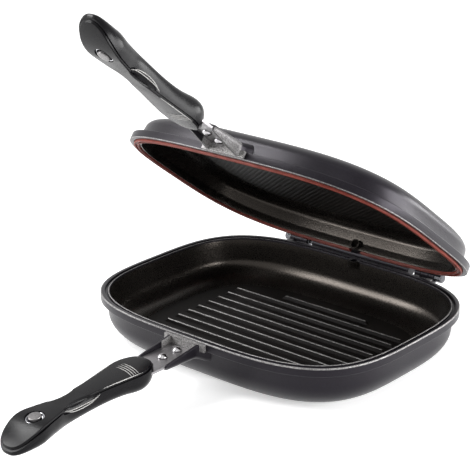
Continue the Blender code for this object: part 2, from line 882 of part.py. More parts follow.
def add_magnet(half):
    """The round magnet in its steel cup, square to the face."""
    side = half["side"]
    rise, angle = magnet_seat()
    seat = cup_floor - cup_bottom()
    rim = -face_drop - cup_sink
    cup = [
        (0, seat),
        (cup_radius - cup_wall, seat),
        (cup_radius - cup_wall, rim),
        (cup_radius, rim),
        (cup_radius, -cup_bottom()),
        (0, -cup_bottom()),
    ]
    holder = add_turned(half["name"] + "_magnet_cup", cup, plated, disc_steps)
    disc = [
        (0, -magnet_top()),
        (magnet_radius - magnet_edge, -magnet_top()),
        (magnet_radius, -magnet_top() - magnet_edge),
        (magnet_radius, seat + seating_gap),
        (0, seat + seating_gap),
    ]
    magnet = add_turned(half["name"] + "_magnet", disc, magnetic, disc_steps)
    for piece in (holder, magnet):
        carry(piece, half, (0, -magnet_reach(), side * rise))
        piece.rotation_euler.x = -side * angle + (math.pi if side > 0 else 0)


def add_grip_screw(half):
    seat = screw_head_drop()
    nut_top = tang_drop - seating_gap - nut_height
    slot = screw_head_height / 2
    crown = -seat - screw_head_height
    screw = [(0, -nut_top), (screw_radius, -nut_top), (screw_radius, -seat), (screw_head_radius, -seat)]
    screw += [(screw_head_radius, -seat - slot), (screw_head_radius * screw_crown_share, crown), (0, crown)]
    screw = [(radius, height - seating_gap if height <= -seat else height) for radius, height in screw]
    fixing = add_turned(half["name"] + "_grip_screw", screw, stainless)
    carry(fixing, half, (0, -screw_reach(), 0))
    fixing.rotation_euler.x = math.pi if half["side"] > 0 else 0
    bm = bmesh.new()
    heights = sorted((half["side"] * nut_top, half["side"] * (nut_top + nut_height)))
    add_cylinder(bm, (0, 0), nut_radius, heights[0], heights[1], segments=nut_sides)
    nut = add_object(half["name"] + "_grip_nut", bm, parts, stainless)
    carry(nut, half, (0, -screw_reach(), 0))
    bore = bmesh.new()
    add_cylinder(bore, (0, 0), screw_radius + seating_gap, heights[0] - overrun, heights[1] + overrun)
    combine(nut, add_cutter(half["name"] + "_nut_bore", bore), "DIFFERENCE")


def hinge_spans():
    """Where each hinge's inner lug, knuckle and outer lug start and end along X."""
    near = knuckle_middle - knuckle_width / 2
    far = knuckle_middle + knuckle_width / 2
    inner = (near - lug_side_gap - inner_lug_width, near - lug_side_gap)
    outer = (far + lug_side_gap, far + lug_side_gap + outer_lug_width)
    return inner, (near, far), outer


def add_hinge_pins(half):
    """Headed pins, head outward, each held by a clip in a groove at its inner end."""
    inner, _, outer = hinge_spans()
    head = outer[1] + seating_gap
    groove = inner[0] - seating_gap
    groove_far = groove - clip_thickness - 2 * seating_gap
    tail = inner[0] - pin_tail_length
    edge = pin_radius / 4
    profile = [
        (0, head + pin_head_length),
        (pin_head_radius - 2 * edge, head + pin_head_length),
        (pin_head_radius, head + pin_head_length - 2 * edge),
        (pin_head_radius, head),
        (pin_radius, head),
        (pin_radius, groove),
        (pin_groove_radius, groove),
        (pin_groove_radius, groove_far),
        (pin_radius, groove_far),
        (pin_radius, tail + edge),
        (pin_radius - edge, tail),
        (0, tail),
    ]
    for label, sign in (("left", -1), ("right", 1)):
        pin = add_turned(f"{label}_hinge_pin", profile, pin_steel)
        pin.rotation_euler.y = sign * math.pi / 2
        carry(pin, half, (0, axis_depth, 0))
        add_clip(label, sign, groove - seating_gap, half)


def add_clip(label, sign, start, half):
    """An open ring that snaps into the pin's groove."""
    mouth = math.pi * clip_mouth_share
    turns = [mouth + 2 * (math.pi - mouth) * i / clip_steps for i in range(clip_steps + 1)]
    hole = pin_groove_radius + seating_gap
    outline = [(clip_radius * math.cos(t), clip_radius * math.sin(t)) for t in turns]
    outline += [(hole * math.cos(t), hole * math.sin(t)) for t in reversed(turns)]
    low, high = sorted((sign * start, sign * (start - clip_thickness)))
    bm = bmesh.new()
    add_prism(bm, outline, low, high, "yzx")
    clip = add_object(f"{label}_hinge_clip", bm, parts, pin_steel)
    carry(clip, half, (0, axis_depth, 0))


def add_handle(half):
    add_tang(half)
    add_rivets(half)
    add_grip_shell(half)
    add_grip_face(half)
    add_magnet(half)
    add_grip_screw(half)


clear_scene()
parts = make_collection("double_sided_flip_pan")
cutters = make_collection("cutters")
cutters.hide_render = True

casting = make_material("casting", (0.155, 0.150, 0.160), 0.34, 0.55)
silicone = make_material("silicone", (0.42, 0.115, 0.085), 0.45, 0)
stainless = make_material("stainless", (0.72, 0.71, 0.72), 0.24, 1)
phenolic = make_material("phenolic", (0.012, 0.012, 0.013), 0.12, 0)
plated = make_material("plated", (0.80, 0.80, 0.82), 0.12, 1)
magnetic = make_material("magnetic", (0.55, 0.55, 0.57), 0.22, 1)
pin_steel = make_material("pin_steel", (0.48, 0.48, 0.50), 0.28, 1)

base = {
    "name": "lower",
    "side": -1,
    "frame": make_frame("base_frame", (0, axis_depth, base_height), 0),
    "metal": casting,
    "height": base_height,
    "step": base_step,
    "corner_width": base_corner_width,
    "corner_height": base_corner_height,
    "bracket_swell": base_bracket_swell,
    "floor": base_floor,
    "rim": 0,
    "rim_profile": base_rim_profile,
}
lid = {
    "name": "upper",
    "side": 1,
    "frame": make_frame("lid_frame", (0, axis_depth, base_height), -open_angle),
    "metal": casting,
    "height": lid_height,
    "step": lid_step,
    "corner_width": lid_corner_width,
    "corner_height": lid_corner_height,
    "bracket_swell": lid_bracket_swell,
    "floor": lid_roof,
    "rim": closing_gap,
    "rim_profile": lid_rim_profile,
}

lower_pan = add_pan("lower_pan", base)
add_ribs(lower_pan)
add_rail(lower_pan, base)
add_base_vent(lower_pan)
add_bracket(lower_pan, base)
inner_span, knuckle_span, outer_span = hinge_spans()
add_lugs(lower_pan, base, [inner_span, outer_span])

upper_pan = add_pan("upper_pan", lid)
add_lid_hood(upper_pan, lid)
add_bracket(upper_pan, lid)
add_lugs(upper_pan, lid, [knuckle_span])

add_gasket(lid)
add_hinge_pins(base)
add_handle(base)
add_handle(lid)
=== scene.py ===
"""Looks of the double sided flip pan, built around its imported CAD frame."""

import json
import math

import bmesh
import bpy
from mathutils import Matrix, Vector

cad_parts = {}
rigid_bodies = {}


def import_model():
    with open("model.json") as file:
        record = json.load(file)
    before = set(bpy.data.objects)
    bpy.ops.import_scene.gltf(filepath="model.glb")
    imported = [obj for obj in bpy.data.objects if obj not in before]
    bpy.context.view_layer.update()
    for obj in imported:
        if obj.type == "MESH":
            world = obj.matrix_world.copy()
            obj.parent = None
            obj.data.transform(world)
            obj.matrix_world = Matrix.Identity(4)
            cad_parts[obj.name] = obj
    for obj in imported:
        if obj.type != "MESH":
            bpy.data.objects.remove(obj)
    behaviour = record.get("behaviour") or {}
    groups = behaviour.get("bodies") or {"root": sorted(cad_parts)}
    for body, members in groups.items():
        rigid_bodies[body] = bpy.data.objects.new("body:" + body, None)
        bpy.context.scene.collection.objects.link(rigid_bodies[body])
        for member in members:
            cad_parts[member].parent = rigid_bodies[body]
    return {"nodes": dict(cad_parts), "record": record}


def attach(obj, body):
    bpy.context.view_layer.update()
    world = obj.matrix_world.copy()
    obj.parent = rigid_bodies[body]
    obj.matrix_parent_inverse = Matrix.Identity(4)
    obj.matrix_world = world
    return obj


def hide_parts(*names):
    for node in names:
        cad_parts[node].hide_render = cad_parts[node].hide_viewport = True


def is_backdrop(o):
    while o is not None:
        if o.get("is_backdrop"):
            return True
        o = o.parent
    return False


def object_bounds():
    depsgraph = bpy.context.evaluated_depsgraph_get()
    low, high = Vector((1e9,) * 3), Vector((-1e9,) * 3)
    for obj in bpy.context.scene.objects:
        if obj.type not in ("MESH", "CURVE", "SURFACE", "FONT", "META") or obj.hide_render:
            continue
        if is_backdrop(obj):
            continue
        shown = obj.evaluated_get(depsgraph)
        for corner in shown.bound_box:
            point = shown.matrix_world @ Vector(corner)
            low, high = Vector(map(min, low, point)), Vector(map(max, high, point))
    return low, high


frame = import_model()
cad_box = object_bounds()

# The photograph's camera
camera_place = Vector((0.774955, -0.933472, 0.541885))
camera_lens = 118.2165
camera_sensor = 36
camera_turn = [math.radians(angle) for angle in (69.813, 0.538, 41.182)]

# The pan's frame, as the record gives it
hinge = frame["record"]["behaviour"]["joints"][0]
hinge_axis = Vector(hinge["pos_m"])
open_angle = math.radians(-hinge["range_deg"][0])

# Outline of both pans, in metres, measured from the middle of each one's rim plane
half_width = 0.145
half_depth = 0.114
width_power = 3.55
depth_power = 3.38
axis_depth = hinge_axis.y
wall = 0.0032
draft = 0.0011
band_height = 0.0074
gap = 0.0003
overrun = 0.001

# Meshes
ring_points = 240
ring_turn = 2 * math.pi / ring_points
ring_angles = [(i + 0.5) * ring_turn for i in range(ring_points)]
corner_steps = 16
lug_steps = 24
dome_steps = 12
face_steps = 5
round_segments = 48
bore_segments = 32
hole_segments = 24
lathe_segments = 64
axis_radius = 0.00001
longest_arm_share = 0.45
sharp_angle = math.radians(25)
smooth_angle = math.radians(34)

# Rim
land_width = 0.0032
base_groove_width = 0.0023
base_groove_depth = 0.0024
base_lip_width = 0.0012
base_lip_drop = 0.0004
rim_slope = 0.0002
closing_gap = 0.0004
seal_width = 0.0043
lid_groove_depth = 0.003
lid_lip_width = 0.0012
edge_round = 0.0007
lip_round = 0.0005

# Seal
seal_ridge_width = 0.0015
seal_inner_ridge_width = 0.0011
seal_ridge_reach = 0.0014
seal_inner_ridge_reach = 0.0011

# Ribs
rib_pitch = 0.0132
rib_side_count = 5
rib_half_length = 0.0945
short_rib_half_length = 0.048
rib_height = 0.003
rib_foot_width = 0.0032
rib_top_width = 0.0018
rib_root = 0.0006
rib_round = 0.0008
rib_end_slope = 0.0035
rib_end_share = 0.02

# Vent
vent_boss_radius = 0.0056
vent_channel_radius = 0.0033
vent_boss_height = 0.0062
vent_channel_depth = 0.0051
vent_bore_radius = 0.0011
vent_bore_drop = 0.004
hood_radius = 0.0054
hood_height = 0.0072
port_radius = 0.0037
collar_wall = 0.0007
vent_reach = half_depth - land_width - base_groove_width - base_lip_width

# Hinge
lug_radius = 0.005
lug_root_bite = 0.0012
lug_side_gap = 0.0005
lug_round = 0.0004
knuckle_near = 0.0668
knuckle_far = 0.0748
inner_lug_width = 0.0055
outer_lug_width = 0.005
pin_radius = 0.002
pin_tail_length = 0.003
rail_radius = 0.0052
rail_swell = 0.0018
rail_end_gap = 0.0038

# Bracket
pad_half_width = 0.0215
pad_reach = 0.0028
pad_top_drop = 0.0012
pad_height = 0.006
bracket_reach = 0.0393
bracket_root_half_width = 0.0225
bracket_neck_half_width = 0.0161
bracket_tip_half_width = 0.0154
bracket_flare_reach = 0.0052
cheek_root_drop = 0.0016
cheek_tip_drop = 0.0072
bracket_floor = 0.003
bracket_tip_floor = 0.0022
bracket_tip_chamfer = 0.0014
bracket_chamfer = 0.0028
under_groove_share = 0.7
in_land_share = 0.75
bracket_round = 0.0005
bracket_flare_steps = 12

# Strap and rivets. The strap lies in a channel in the bracket and in a slot in the grip.
tang_drop = 0.0083
tang_thickness = 0.002
tang_width = 0.027
channel_half_width = tang_width / 2 + gap
channel_drop = tang_drop + tang_thickness + gap
rivet_radius = 0.002
rivet_head_radius = 0.0042
rivet_head_height = 0.0026
rear_rivet_reach = 0.0108
front_rivet_reach = 0.0278
rivet_tail_radius = 0.0034
rivet_tail_end_radius = 0.0027
rivet_tail_height = 0.0012

# Grip
grip_root_gap = 0.0062
grip_start = half_depth + bracket_reach + grip_root_gap
grip_length = 0.1445
grip_half_width = 0.0172
grip_thickness = 0.0249
grip_shoulder_drop = 0.0044
grip_section_power = 2.7
grip_tip_round = 0.0295
grip_root_round = 0.0278
grip_back_round = 0.0157
nose_length = 0.0333
nose_drop = 0.0132
nose_least_thickness = 0.0012
back_nose_length = 0.0181
back_nose_drop = 0.008
face_drop = 0.0022
face_lean = math.radians(2.8)
face_inset = 0.0012
face_round = 0.0008
grip_stations = 110
station_end_share = 0.6
grip_section_points = 56
tang_grip_depth = 0.03
root_power_share = 2.4
tip_power_share = 2.6
back_power_share = 2.2
nose_power_share = 2
root_width_share = 0.6
root_thickness_share = 0.5
tip_thickness_share = 0.4

# Grip outline: share of the length, share of the half width, share of the thickness
grip_shares = [
    (0.00, 0.83, 0.93),
    (0.11, 0.97, 0.88),
    (0.24, 0.81, 0.73),
    (0.36, 0.65, 0.70),
    (0.50, 0.53, 0.74),
    (0.62, 0.54, 0.78),
    (0.74, 0.81, 0.80),
    (0.84, 0.99, 0.86),
    (1.00, 0.98, 0.78),
]

# Magnet and its cup
magnet_place_share = 0.806
magnet_reach = grip_start + grip_length * magnet_place_share
magnet_radius = 0.0052
magnet_thickness = 0.0046
magnet_edge = 0.0007
magnet_proud = 0.0014
cup_radius = 0.0074
cup_wall = 0.0012
cup_floor = 0.0012
cup_sink = 0.0004
cup_bottom = face_drop - magnet_proud + magnet_thickness + gap + cup_floor

# Scoops in the grip's sides: share of the grip's length, half height, bite
scoop_place_share = 0.565
scoop_drop = 0.0008
outer_scoop = (0.131, 0.0067, 0.0018)
inner_scoop = (0.107, 0.0047, 0.003)

# Arcs across the face plate near its root. arc_bow is per metre.
arc_count = 4
arc_pitch = 0.0024
arc_from_root = 0.0182
arc_ends = (-0.0075, 0.0142)
arc_middle = -0.004
arc_bow = 14
arc_radius = 0.0004

# Pale line along the face plate's edge, a painted highlight
edge_line_shares = (0.13, 0.39)
edge_line_radius = 0.0004

# Ridges round the scoops, each with its half length and its depth
scoop_ridges = [(0.0175, 0.0037), (0.0155, 0.0054)]
ridge_start = math.radians(10)
ridge_shift = 0.0045
ridge_radius = 0.00042

# All raised lines
line_steps = 16
line_sides = 8
line_end_share = 0.3

# Grip screw
screw_from_root = 0.021
screw_head_radius = 0.0036
screw_head_height = 0.0024
screw_sink = 0.0015

# Where the pans' finish changes, with the pale rib crests partly a painted highlight, and the lid's quilt
inside_inset = 0.0069
mouth_depth = 0.02
floor_inset = 0.031
edge_band = 0.0008
crest_share = 0.93
bare_channel_reach = 0.014
quilt_pitch = 0.0052

# Colours, in pairs that noise mixes, or alone. noise_middle is where most of a noise lies.
noise_middle = (0.3, 0.7)
enamel_colors = ((0.005, 0.0042, 0.0058), (0.009, 0.0078, 0.0105))
fleck_color = (0.05, 0.046, 0.056)
coating_colors = ((0.0022, 0.002, 0.002), (0.020, 0.0165, 0.013))
casting_colors = ((0.13, 0.125, 0.125), (0.50, 0.49, 0.48))
silicone_colors = ((0.17, 0.030, 0.021), (0.26, 0.058, 0.042))
phenolic_colors = ((0.0035, 0.0035, 0.0042), (0.007, 0.0065, 0.0075))
# painted highlight on the grips' thin raised lines
highlight_line_colors = ((0.22, 0.215, 0.21), (0.46, 0.45, 0.43))
floor_colors = ((0.86, 0.86, 0.86), (0.90, 0.90, 0.90))

# Gloss. A tint says how much of it each finish keeps, by colour.
pan_gloss = 0.5
grip_gloss = 0.11
silicone_gloss = 0.2
enamel_tint = (0.31, 0.29, 0.33)
coating_tint = (1, 0.88, 0.78)
pan_floor_tint = (0.15, 0.14, 0.14)
enamel_roughness = (0.27, 0.40)
coating_roughness = (0.22, 0.34)
pan_floor_roughness = 0.55
casting_roughness = 0.5
casting_metallic = 0.5
phenolic_roughness = (0.2, 0.3)
highlight_line_roughness = (0.35, 0.5)
silicone_roughness = (0.42, 0.56)

# How strongly flecks, the pale rim edges, the uncoated pad, the lid's right cheek (uncoated casting and a
# painted highlight) and the grain show
fleck_share = 0.3
rim_edge_pale_shares = (0.45, 0.8)
pad_wear_and_cheek_highlight_share = 0.9
cheek_bare_and_highlight_share = 0.5
relief_strengths = (0.35, 0.9)

# Metals, each with two colours, a roughness, and the squeeze of its brush marks along each axis
metals = {
    "stainless_brushed": ((0.42, 0.41, 0.42), (0.31, 0.30, 0.31), 0.3, (1, 0.04, 1)),
    "stainless_polished": ((0.50, 0.49, 0.50), (0.40, 0.39, 0.40), 0.12, (1, 1, 1)),
    "plated_bright": ((0.52, 0.52, 0.54), (0.36, 0.36, 0.38), 0.1, (1, 1, 1)),
    "magnet_nickel": ((0.24, 0.23, 0.23), (0.14, 0.135, 0.135), 0.3, (1, 1, 1)),
    "pin_steel_dark": ((0.20, 0.20, 0.21), (0.08, 0.08, 0.09), 0.22, (0.1, 1, 1)),
}
metal_roughness_range = 0.1
stain_share = 0.35

# Floor and world, which both shine more for rays that show them directly
floor_radius = 30
floor_gap = 0.0002
floor_roughness = 0.9
glow_reaches = (0.7, 3.5)
glow_strengths = (0.5, 0.8)
world_strengths = (0.3, 1.0)

# Softboxes, each with its place, size and watts, all turned towards light_aim
light_aim = (0, -0.03, 0.1)
softboxes = {
    "front_left": ((-1.05, -1.0, 0.75), (0.45, 0.85), 18),
    "top_left": ((-1.05, -0.45, 1.4), (0.8, 0.35), 17),
    "right": ((1.35, 0.3, 0.36), (0.9, 0.5), 22),
    "back_right": ((0.9, 1.1, 0.22), (1.1, 0.4), 15),
    "top": ((0.3, -0.5, 1.9), (0.9, 0.9), 3),
}

# The two halves. Each is drawn from its rim plane towards side, and place puts it into the scene.
lower_half = {
    "name": "lower",
    "body": "base",
    "side": -1,
    "place": Matrix.Translation((0, 0, hinge_axis.z)),
    "height": 0.0416,
    "step": 0.0044,
    "corner_width": 0.0259,
    "corner_height": 0.0226,
    "floor": 0.005,
    "rim": 0,
    "swell": 0.0045,
}
upper_half = {
    "name": "upper",
    "body": "lid",
    "side": 1,
    "place": Matrix.Translation(hinge_axis)
    @ Matrix.Rotation(-open_angle, 4, "X")
    @ Matrix.Translation((0, -axis_depth, 0)),
    "height": 0.0272,
    "step": 0.0058,
    "corner_width": 0.017,
    "corner_height": 0.0113,
    "floor": 0.0032,
    "rim": closing_gap,
    "swell": 0.0022,
}


def mesh_from(name, bm):
    bmesh.ops.recalc_face_normals(bm, faces=bm.faces)
    mesh = bpy.data.meshes.new(name)
    bm.to_mesh(mesh)
    bm.free()
    return mesh


def add_object(name, data, collection=None):
    obj = bpy.data.objects.new(name, data)
    (collection or bpy.context.scene.collection).objects.link(obj)
    return obj


def finish_mesh(name, bm, half, nodes, material):
    """Turns a bmesh, drawn in its half's frame, into a smooth piece that stands for CAD nodes."""
    mesh = mesh_from(name, bm)
    mesh.transform(half["place"])
    mesh.shade_smooth()
    mesh.set_sharp_from_angle(angle=smooth_angle)
    mesh.materials.append(material)
    piece = add_object(name, mesh)
    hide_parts(*nodes)
    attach(piece, half["body"])


def finish_part(half, label, bm, node, material):
    """Finishes a piece that, like its one node, is named after its half."""
    name = half["name"]
    finish_mesh(f"{name}_{label}", bm, half, [f"{name}_{node}"], material)


def steps_between(start, end, count):
    """Evenly spaced values from start to end, with both ends."""
    return [start + (end - start) * i / count for i in range(count + 1)]


def rounded(corners, steps=4, closed=False):
    """Points along a line of (u, v, radius) corners, each turned by a short curve."""
    line = []
    last = len(corners) - 1
    for i, (u, v, radius) in enumerate(corners):
        here = Vector((u, v))
        if not radius or (not closed and i in (0, last)):
            line.append(here)
            continue
        ends = []
        for other in (corners[i - 1], corners[(i + 1) % len(corners)]):
            arm = Vector(other[:2]) - here
            ends.append(here + arm.normalized() * min(radius, arm.length * longest_arm_share))
        for t in steps_between(0, 1, steps):
            line.append(ends[0] * (1 - t) ** 2 + here * 2 * t * (1 - t) + ends[1] * t**2)
    return line


def loft(rings):
    """A solid through rings of points in turn, closed at both ends."""
    bm = bmesh.new()
    loops = [[bm.verts.new(point) for point in ring] for ring in rings]
    for near, far in zip(loops, loops[1:]):
        for i in range(len(near)):
            bm.faces.new((near[i - 1], near[i], far[i], far[i - 1]))
    for end in (loops[0], loops[-1]):
        bm.faces.new(end)
    return bm


def place_on(axes, point, along):
    """A point whose first two values run on the first two named axes, and along on the third."""
    spot = [0, 0, 0]
    for axis, value in zip(axes, (*point, along)):
        spot["xyz".index(axis)] = value
    return spot


def prism(outline, start, end, axes):
    return loft([[place_on(axes, point, along) for point in outline] for along in (start, end)])


def box(low, high):
    outline = [(low[0], low[1]), (high[0], low[1]), (high[0], high[1]), (low[0], high[1])]
    return prism(outline, low[2], high[2], "xyz")


def cylinder(middle, radius, start, end, axes="xyz", segments=round_segments):
    """A round bar along the third of the axes, about middle on the first two."""
    x, y = middle
    turns = steps_between(0, 2 * math.pi, segments)[:-1]
    return prism([(x + radius * math.cos(t), y + radius * math.sin(t)) for t in turns], start, end, axes)


def soften(bm, width, segments=3):
    """Rounds every sharp edge of a solid."""
    sharp = [edge for edge in bm.edges if edge.is_manifold and edge.calc_face_angle() > sharp_angle]
    bmesh.ops.bevel(bm, geom=sharp, offset=width, segments=segments, profile=0.5, affect="EDGES")
    return bm


def lathe(profile, place):
    """Turns a profile of (radius, height) points about Z, then puts it in place."""
    turns = steps_between(0, 2 * math.pi, lathe_segments)[:-1]
    profile = [(max(r, axis_radius), h) for r, h in profile]
    bm = loft([[(r * math.cos(t), r * math.sin(t), h) for t in turns] for r, h in profile])
    bmesh.ops.transform(bm, matrix=place, verts=bm.verts)
    return bm


def span_on(side, near, far):
    """Two distances on one side of the middle, lower value first."""
    return sorted((side * near, side * far))


def carve(bm, additions, cuts):
    """Joins the additions to a solid, takes the cuts away, and returns the result."""
    scratch = bpy.data.collections.new("scratch")
    bpy.context.scene.collection.children.link(scratch)
    body = add_object("solid", mesh_from("solid", bm), scratch)
    for tools, operation in ((additions, "UNION"), (cuts, "DIFFERENCE")):
        for tool in tools:
            modifier = body.modifiers.new(operation.lower(), "BOOLEAN")
            modifier.operation = operation
            modifier.solver = "EXACT"
            modifier.object = add_object("tool", mesh_from("tool", tool), scratch)
    graph = bpy.context.evaluated_depsgraph_get()
    mesh = bpy.data.meshes.new_from_object(body.evaluated_get(graph))
    result = bmesh.new()
    result.from_mesh(mesh)
    bpy.data.meshes.remove(mesh)
    for obj in list(scratch.objects):
        bpy.data.objects.remove(obj, do_unlink=True)
    bpy.data.collections.remove(scratch)
    return result


def pan_point(angle, inset, height):
    """A point of the rounded-square outline, drawn in by inset."""
    across = math.cos(angle)
    along = math.sin(angle)
    x = (half_width - inset) * math.copysign(abs(across) ** (2 / width_power), across)
    y = (half_depth - inset) * math.copysign(abs(along) ** (2 / depth_power), along)
    return (x, y, height)


def pan_ring(inset, height):
    return [pan_point(angle, inset, height) for angle in ring_angles]


def corner(inset, height, width, rise):
    """The rounded corner between wall and floor, as (inset, height, no rounding)."""
    turns = steps_between(0, math.pi / 2, corner_steps)
    return [(inset + width * (1 - math.cos(t)), height - rise * (1 - math.sin(t)), 0) for t in turns]


def outer_profile(half):
    low = corner(half["step"] + draft, half["height"], half["corner_width"], half["corner_height"])
    band = [(half["step"], band_height), (0, band_height), (0, half["rim"])]
    return low[::-1] + [(inset, height, edge_round) for inset, height in band]


def lower_rim():
    groove = land_width
    lip = groove + base_groove_width
    inner = lip + base_lip_width
    return [
        (groove, 0, lip_round),
        (groove + rim_slope, base_groove_depth, lip_round),
        (lip - rim_slope, base_groove_depth, lip_round),
        (lip, base_lip_drop, lip_round),
        (inner, base_lip_drop, edge_round),
    ]


def upper_rim():
    groove = land_width + rim_slope
    lip = groove + seal_width + 2 * gap
    inner = lip + lid_lip_width
    low = closing_gap + rim_slope
    floor = closing_gap + lid_groove_depth
    return [
        (groove, closing_gap, lip_round),
        (groove, floor, 0),
        (lip, floor, 0),
        (lip, low, lip_round),
        (inner, low, lip_round),
        (inner, floor, 0),
    ]


def inner_profile(half):
    inset = half["step"] + draft + wall
    width = half["corner_width"] - wall
    rise = half["corner_height"] - half["floor"]
    top = (half["step"] + wall, band_height, edge_round)
    return [top] + corner(inset, half["height"] - half["floor"], width, rise)


def pan_body(half):
    rim = lower_rim() if half["side"] < 0 else upper_rim()
    profile = rounded(outer_profile(half) + rim + inner_profile(half))
    return loft([pan_ring(inset, half["side"] * height) for inset, height in profile])


def rib_tools():
    """The grill bars, each with a rounded crest and sloped ends."""
    floor = lower_half["floor"] - lower_half["height"]
    foot = rib_foot_width / 2
    top = rib_top_width / 2
    corners = [
        (-foot, -rib_root, 0),
        (foot, -rib_root, 0),
        (foot, 0, 0),
        (top, rib_height, rib_round),
        (-top, rib_height, rib_round),
        (-foot, 0, 0),
    ]
    section = rounded(corners, closed=True)
    tools = []
    for number in range(-rib_side_count, rib_side_count + 1):
        y = number * rib_pitch
        reach = short_rib_half_length if abs(number) == rib_side_count else rib_half_length
        full = reach - rib_end_slope
        ends = [(-reach, rib_end_share), (-full, 1), (full, 1), (reach, rib_end_share)]
        tools.append(loft([[(x, y + u, floor + min(v, v * share)) for u, v in section] for x, share in ends]))
    return tools


def outline_depth(x):
    return half_depth * (1 - (abs(x) / half_width) ** width_power) ** (1 / depth_power)


def lug_outline(side, x, radius, swell=0):
    """The side view of a lug that ends at x: its root in the band, and its end round the hinge axis."""
    root = outline_depth(x) - lug_root_bite
    lift = math.asin(lug_side_gap / radius)
    turns = steps_between(math.pi + lift, -math.pi / 2, lug_steps)
    arc = [(axis_depth + radius * math.cos(t), -side * radius * math.sin(t)) for t in turns]
    return [(root, side * (radius + swell)), (root, side * lug_side_gap)] + arc


def lug_tools(half, spans):
    tools = []
    for sign in (-1, 1):
        for near, far in spans:
            lug = prism(lug_outline(half["side"], far, lug_radius), *span_on(sign, near, far), "yzx")
            tools.append(soften(lug, lug_round, 2))
    return tools


def pin_bores(spans):
    middle = (axis_depth, 0)
    sides = [span_on(sign, near - gap, far + gap) for sign in (-1, 1) for near, far in spans]
    return [cylinder(middle, pin_radius + gap, low, high, "yzx", bore_segments) for low, high in sides]


def rail_tool():
    reach = knuckle_near - lug_side_gap - inner_lug_width - pin_tail_length - rail_end_gap
    return soften(prism(lug_outline(-1, reach, rail_radius, rail_swell), -reach, reach, "yzx"), lug_round, 2)


def bracket_rings(half):
    """Sections of the bracket along its reach. It flares where it leaves the wall."""
    wall_reach = half_depth - half["step"]
    front = half_depth + pad_reach
    flare_end = front + bracket_flare_reach
    tip = half_depth + bracket_reach
    floor_low = channel_drop + bracket_floor
    tip_low = channel_drop + bracket_tip_floor
    in_land = half_depth - land_width * in_land_share
    land = half_depth - land_width / 2
    step = (flare_end - land) / bracket_flare_steps
    bends = [wall_reach - wall / 2, in_land, front, tip - 2 * bracket_tip_chamfer, tip - bracket_round, tip]
    bends += [land + i * step for i in range(bracket_flare_steps + 1)]
    rings = []
    for reach in sorted(bends):
        flare = max(0, (flare_end - max(reach, wall_reach)) / (flare_end - wall_reach)) ** 2
        along = max(0, (reach - flare_end) / (tip - flare_end))
        width = bracket_neck_half_width + along * (bracket_tip_half_width - bracket_neck_half_width)
        width += flare * (bracket_root_half_width - bracket_neck_half_width)
        low = floor_low + along * (tip_low - floor_low) + flare * half["swell"]
        low -= max(0, reach - tip + 2 * bracket_tip_chamfer) / 2
        slope = max(0, (reach - front) / (tip - front))
        top = cheek_root_drop + slope * (cheek_tip_drop - cheek_root_drop)
        if reach <= in_land:
            top = band_height * under_groove_share
        if reach == tip:
            width, low, top = width - bracket_round, low - bracket_round, top + bracket_round
        right = [(width, top, bracket_round), (width, low - bracket_chamfer, bracket_chamfer / 2)]
        right += [(width - bracket_chamfer, low, bracket_chamfer / 2)]
        corners = right + [(-x, drop, radius) for x, drop, radius in reversed(right)]
        rings.append([(x, -reach, half["side"] * drop) for x, drop in rounded(corners, closed=True)])
    return rings


def bracket_tools(half):
    """The front pad and the tapered channel's body, then the cuts for the strap and the rivets."""
    side = half["side"]
    front = half_depth + pad_reach
    tip = half_depth + bracket_reach
    low, high = span_on(side, pad_top_drop, pad_top_drop + pad_height)
    pad = box((-pad_half_width, -front, low), (pad_half_width, -half_depth + land_width / 2, high))
    body = loft(bracket_rings(half))
    bmesh.ops.triangulate(body, faces=body.faces)
    low, high = span_on(side, 0, channel_drop)
    channel = box((-channel_half_width, -tip - overrun, low), (channel_half_width, -front - gap, high))
    under = channel_drop + bracket_floor + half["swell"] + overrun
    low, high = span_on(side, channel_drop - overrun, under)
    holes = []
    for reach in (rear_rivet_reach, front_rivet_reach):
        middle = (0, -half_depth - reach)
        holes.append(cylinder(middle, rivet_radius + gap, low, high, segments=hole_segments))
    return [soften(pad, bracket_round), body], [channel] + holes


def lower_vent_tools():
    """The vent's boss, then the cuts for its channel and its bore to the back."""
    middle = (0, vent_reach)
    boss = cylinder(middle, vent_boss_radius, -vent_boss_height, -base_lip_drop)
    channel = cylinder(middle, vent_channel_radius, -vent_channel_depth, overrun)
    back = axis_depth + rail_radius + overrun
    bore = cylinder((0, -vent_bore_drop), vent_bore_radius, vent_reach, back, "xzy", hole_segments)
    return [soften(boss, lip_round)], [channel, bore]


def upper_vent_tools():
    """The vent's hood and collar, then the cut for its port."""
    low = closing_gap + rim_slope
    hood = cylinder((0, vent_reach), hood_radius, low, hood_height)
    rise = low + port_radius + collar_wall + gap
    front = vent_reach - hood_radius - gap
    back = half_depth - upper_half["step"] - wall / 2
    collar = cylinder((0, rise), port_radius + collar_wall, front, back, "xzy")
    port = cylinder((0, rise), port_radius, front - overrun, back - gap, "xzy")
    return [hood, soften(collar, gap, 2)], [port]


def add_pan(name, half, spans, additions, cuts, material):
    """Casts one pan: its shell with additions, bracket and lugs, less the cuts."""
    brackets, bracket_cuts = bracket_tools(half)
    additions = additions + brackets + lug_tools(half, spans)
    solid = carve(pan_body(half), additions, cuts + bracket_cuts + pin_bores(spans))
    finish_mesh(name, solid, half, [half["name"] + "_pan"], material)


def add_lower_pan(material):
    inner = (knuckle_near - lug_side_gap - inner_lug_width, knuckle_near - lug_side_gap)
    outer = (knuckle_far + lug_side_gap, knuckle_far + lug_side_gap + outer_lug_width)
    bosses, cuts = lower_vent_tools()
    additions = rib_tools() + [rail_tool()] + bosses
    add_pan("base_pan", lower_half, [inner, outer], additions, cuts, material)


def add_upper_pan(material):
    hoods, cuts = upper_vent_tools()
    add_pan("lid_pan", upper_half, [(knuckle_near, knuckle_far)], hoods, cuts, material)


